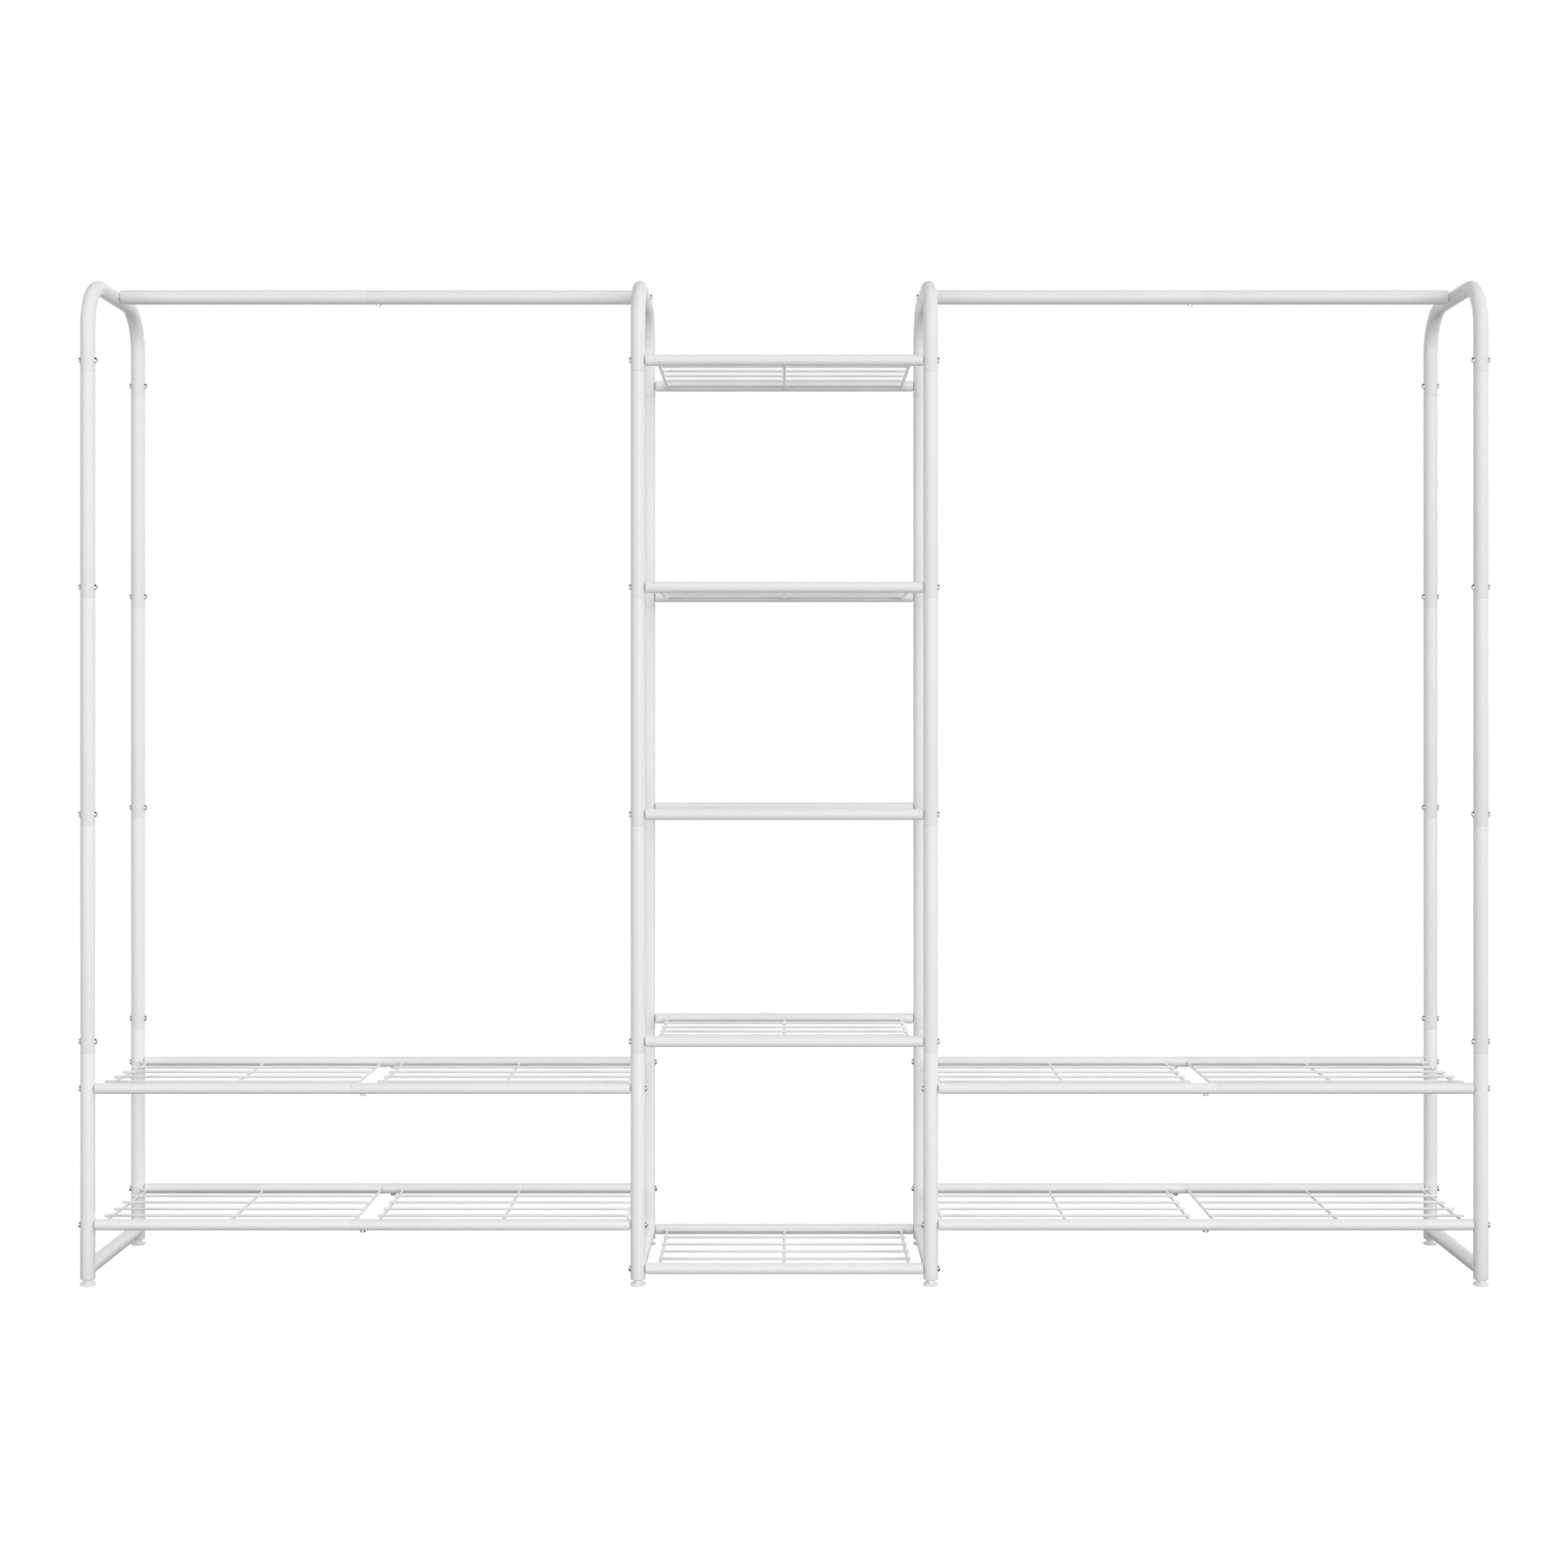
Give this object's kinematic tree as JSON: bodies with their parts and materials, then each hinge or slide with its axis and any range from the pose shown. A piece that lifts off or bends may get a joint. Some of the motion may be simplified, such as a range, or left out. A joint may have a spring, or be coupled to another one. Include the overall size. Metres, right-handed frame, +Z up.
{
  "type": "open frame wardrobe",
  "caption": "Free-standing open wardrobe of white steel tube: a shelf tower between two hanging bays, each with a rod and long wire shelves, on levelling feet.",
  "frame": {"origin": "on the floor under the middle of the wardrobe", "axes": "+X to the right along the width, +Y from the front to the back, +Z up"},
  "size_m": [2.4016, 0.3516, 1.721],
  "materials": {
    "powder_coat": "satin white powder coat on steel tube and wire",
    "foot_plastic": "moulded off-white plastic",
    "fastener_steel": "bright zinc-plated bolts, nuts and screws"
  },
  "bodies": {
    "frame": {"left_outer_hoop": "powder_coat", "left_outer_base": "powder_coat", "left_outer_front_lower_tube": "powder_coat", "left_outer_front_middle_tube": "powder_coat", "left_outer_front_upper_tube": "powder_coat", "left_outer_back_lower_tube": "powder_coat", "left_outer_back_middle_tube": "powder_coat", "left_outer_back_upper_tube": "powder_coat", "left_tower_hoop": "powder_coat", "left_tower_base": "powder_coat", "left_tower_front_lower_tube": "powder_coat", "left_tower_front_middle_tube": "powder_coat", "left_tower_front_upper_tube": "powder_coat", "left_tower_back_lower_tube": "powder_coat", "left_tower_back_middle_tube": "powder_coat", "left_tower_back_upper_tube": "powder_coat", "right_tower_hoop": "powder_coat", "right_tower_base": "powder_coat", "right_tower_front_lower_tube": "powder_coat", "right_tower_front_middle_tube": "powder_coat", "right_tower_front_upper_tube": "powder_coat", "right_tower_back_lower_tube": "powder_coat", "right_tower_back_middle_tube": "powder_coat", "right_tower_back_upper_tube": "powder_coat", "right_outer_hoop": "powder_coat", "right_outer_base": "powder_coat", "right_outer_front_lower_tube": "powder_coat", "right_outer_front_middle_tube": "powder_coat", "right_outer_front_upper_tube": "powder_coat", "right_outer_back_lower_tube": "powder_coat", "right_outer_back_middle_tube": "powder_coat", "right_outer_back_upper_tube": "powder_coat", "left_rod_outer_half": "powder_coat", "left_rod_inner_half": "powder_coat", "right_rod_outer_half": "powder_coat", "right_rod_inner_half": "powder_coat", "left_upper_shelf_outer_half": "powder_coat", "left_upper_shelf_inner_half": "powder_coat", "left_lower_shelf_outer_half": "powder_coat", "left_lower_shelf_inner_half": "powder_coat", "right_upper_shelf_outer_half": "powder_coat", "right_upper_shelf_inner_half": "powder_coat", "right_lower_shelf_outer_half": "powder_coat", "right_lower_shelf_inner_half": "powder_coat", "tower_shelf_1": "powder_coat", "tower_shelf_2": "powder_coat", "tower_shelf_3": "powder_coat", "tower_shelf_4": "powder_coat", "tower_shelf_5": "powder_coat"},
    "left_outer_front_leveller": {"left_outer_front_foot": "foot_plastic"},
    "left_outer_back_leveller": {"left_outer_back_foot": "foot_plastic"},
    "left_tower_front_leveller": {"left_tower_front_foot": "foot_plastic"},
    "left_tower_back_leveller": {"left_tower_back_foot": "foot_plastic"},
    "right_tower_front_leveller": {"right_tower_front_foot": "foot_plastic"},
    "right_tower_back_leveller": {"right_tower_back_foot": "foot_plastic"},
    "right_outer_front_leveller": {"right_outer_front_foot": "foot_plastic"},
    "right_outer_back_leveller": {"right_outer_back_foot": "foot_plastic"}
  },
  "joints": [
    {"name": "left_outer_front_level", "type": "slide", "parent": "frame", "child": "left_outer_front_leveller", "axis": [0, 0, -1], "range_m": [-0.003, 0.006]},
    {"name": "left_outer_back_level", "type": "slide", "parent": "frame", "child": "left_outer_back_leveller", "axis": [0, 0, -1], "range_m": [-0.003, 0.006]},
    {"name": "left_tower_front_level", "type": "slide", "parent": "frame", "child": "left_tower_front_leveller", "axis": [0, 0, -1], "range_m": [-0.003, 0.006]},
    {"name": "left_tower_back_level", "type": "slide", "parent": "frame", "child": "left_tower_back_leveller", "axis": [0, 0, -1], "range_m": [-0.003, 0.006]},
    {"name": "right_tower_front_level", "type": "slide", "parent": "frame", "child": "right_tower_front_leveller", "axis": [0, 0, -1], "range_m": [-0.003, 0.006]},
    {"name": "right_tower_back_level", "type": "slide", "parent": "frame", "child": "right_tower_back_leveller", "axis": [0, 0, -1], "range_m": [-0.003, 0.006]},
    {"name": "right_outer_front_level", "type": "slide", "parent": "frame", "child": "right_outer_front_leveller", "axis": [0, 0, -1], "range_m": [-0.003, 0.006]},
    {"name": "right_outer_back_level", "type": "slide", "parent": "frame", "child": "right_outer_back_leveller", "axis": [0, 0, -1], "range_m": [-0.003, 0.006]}
  ]
}
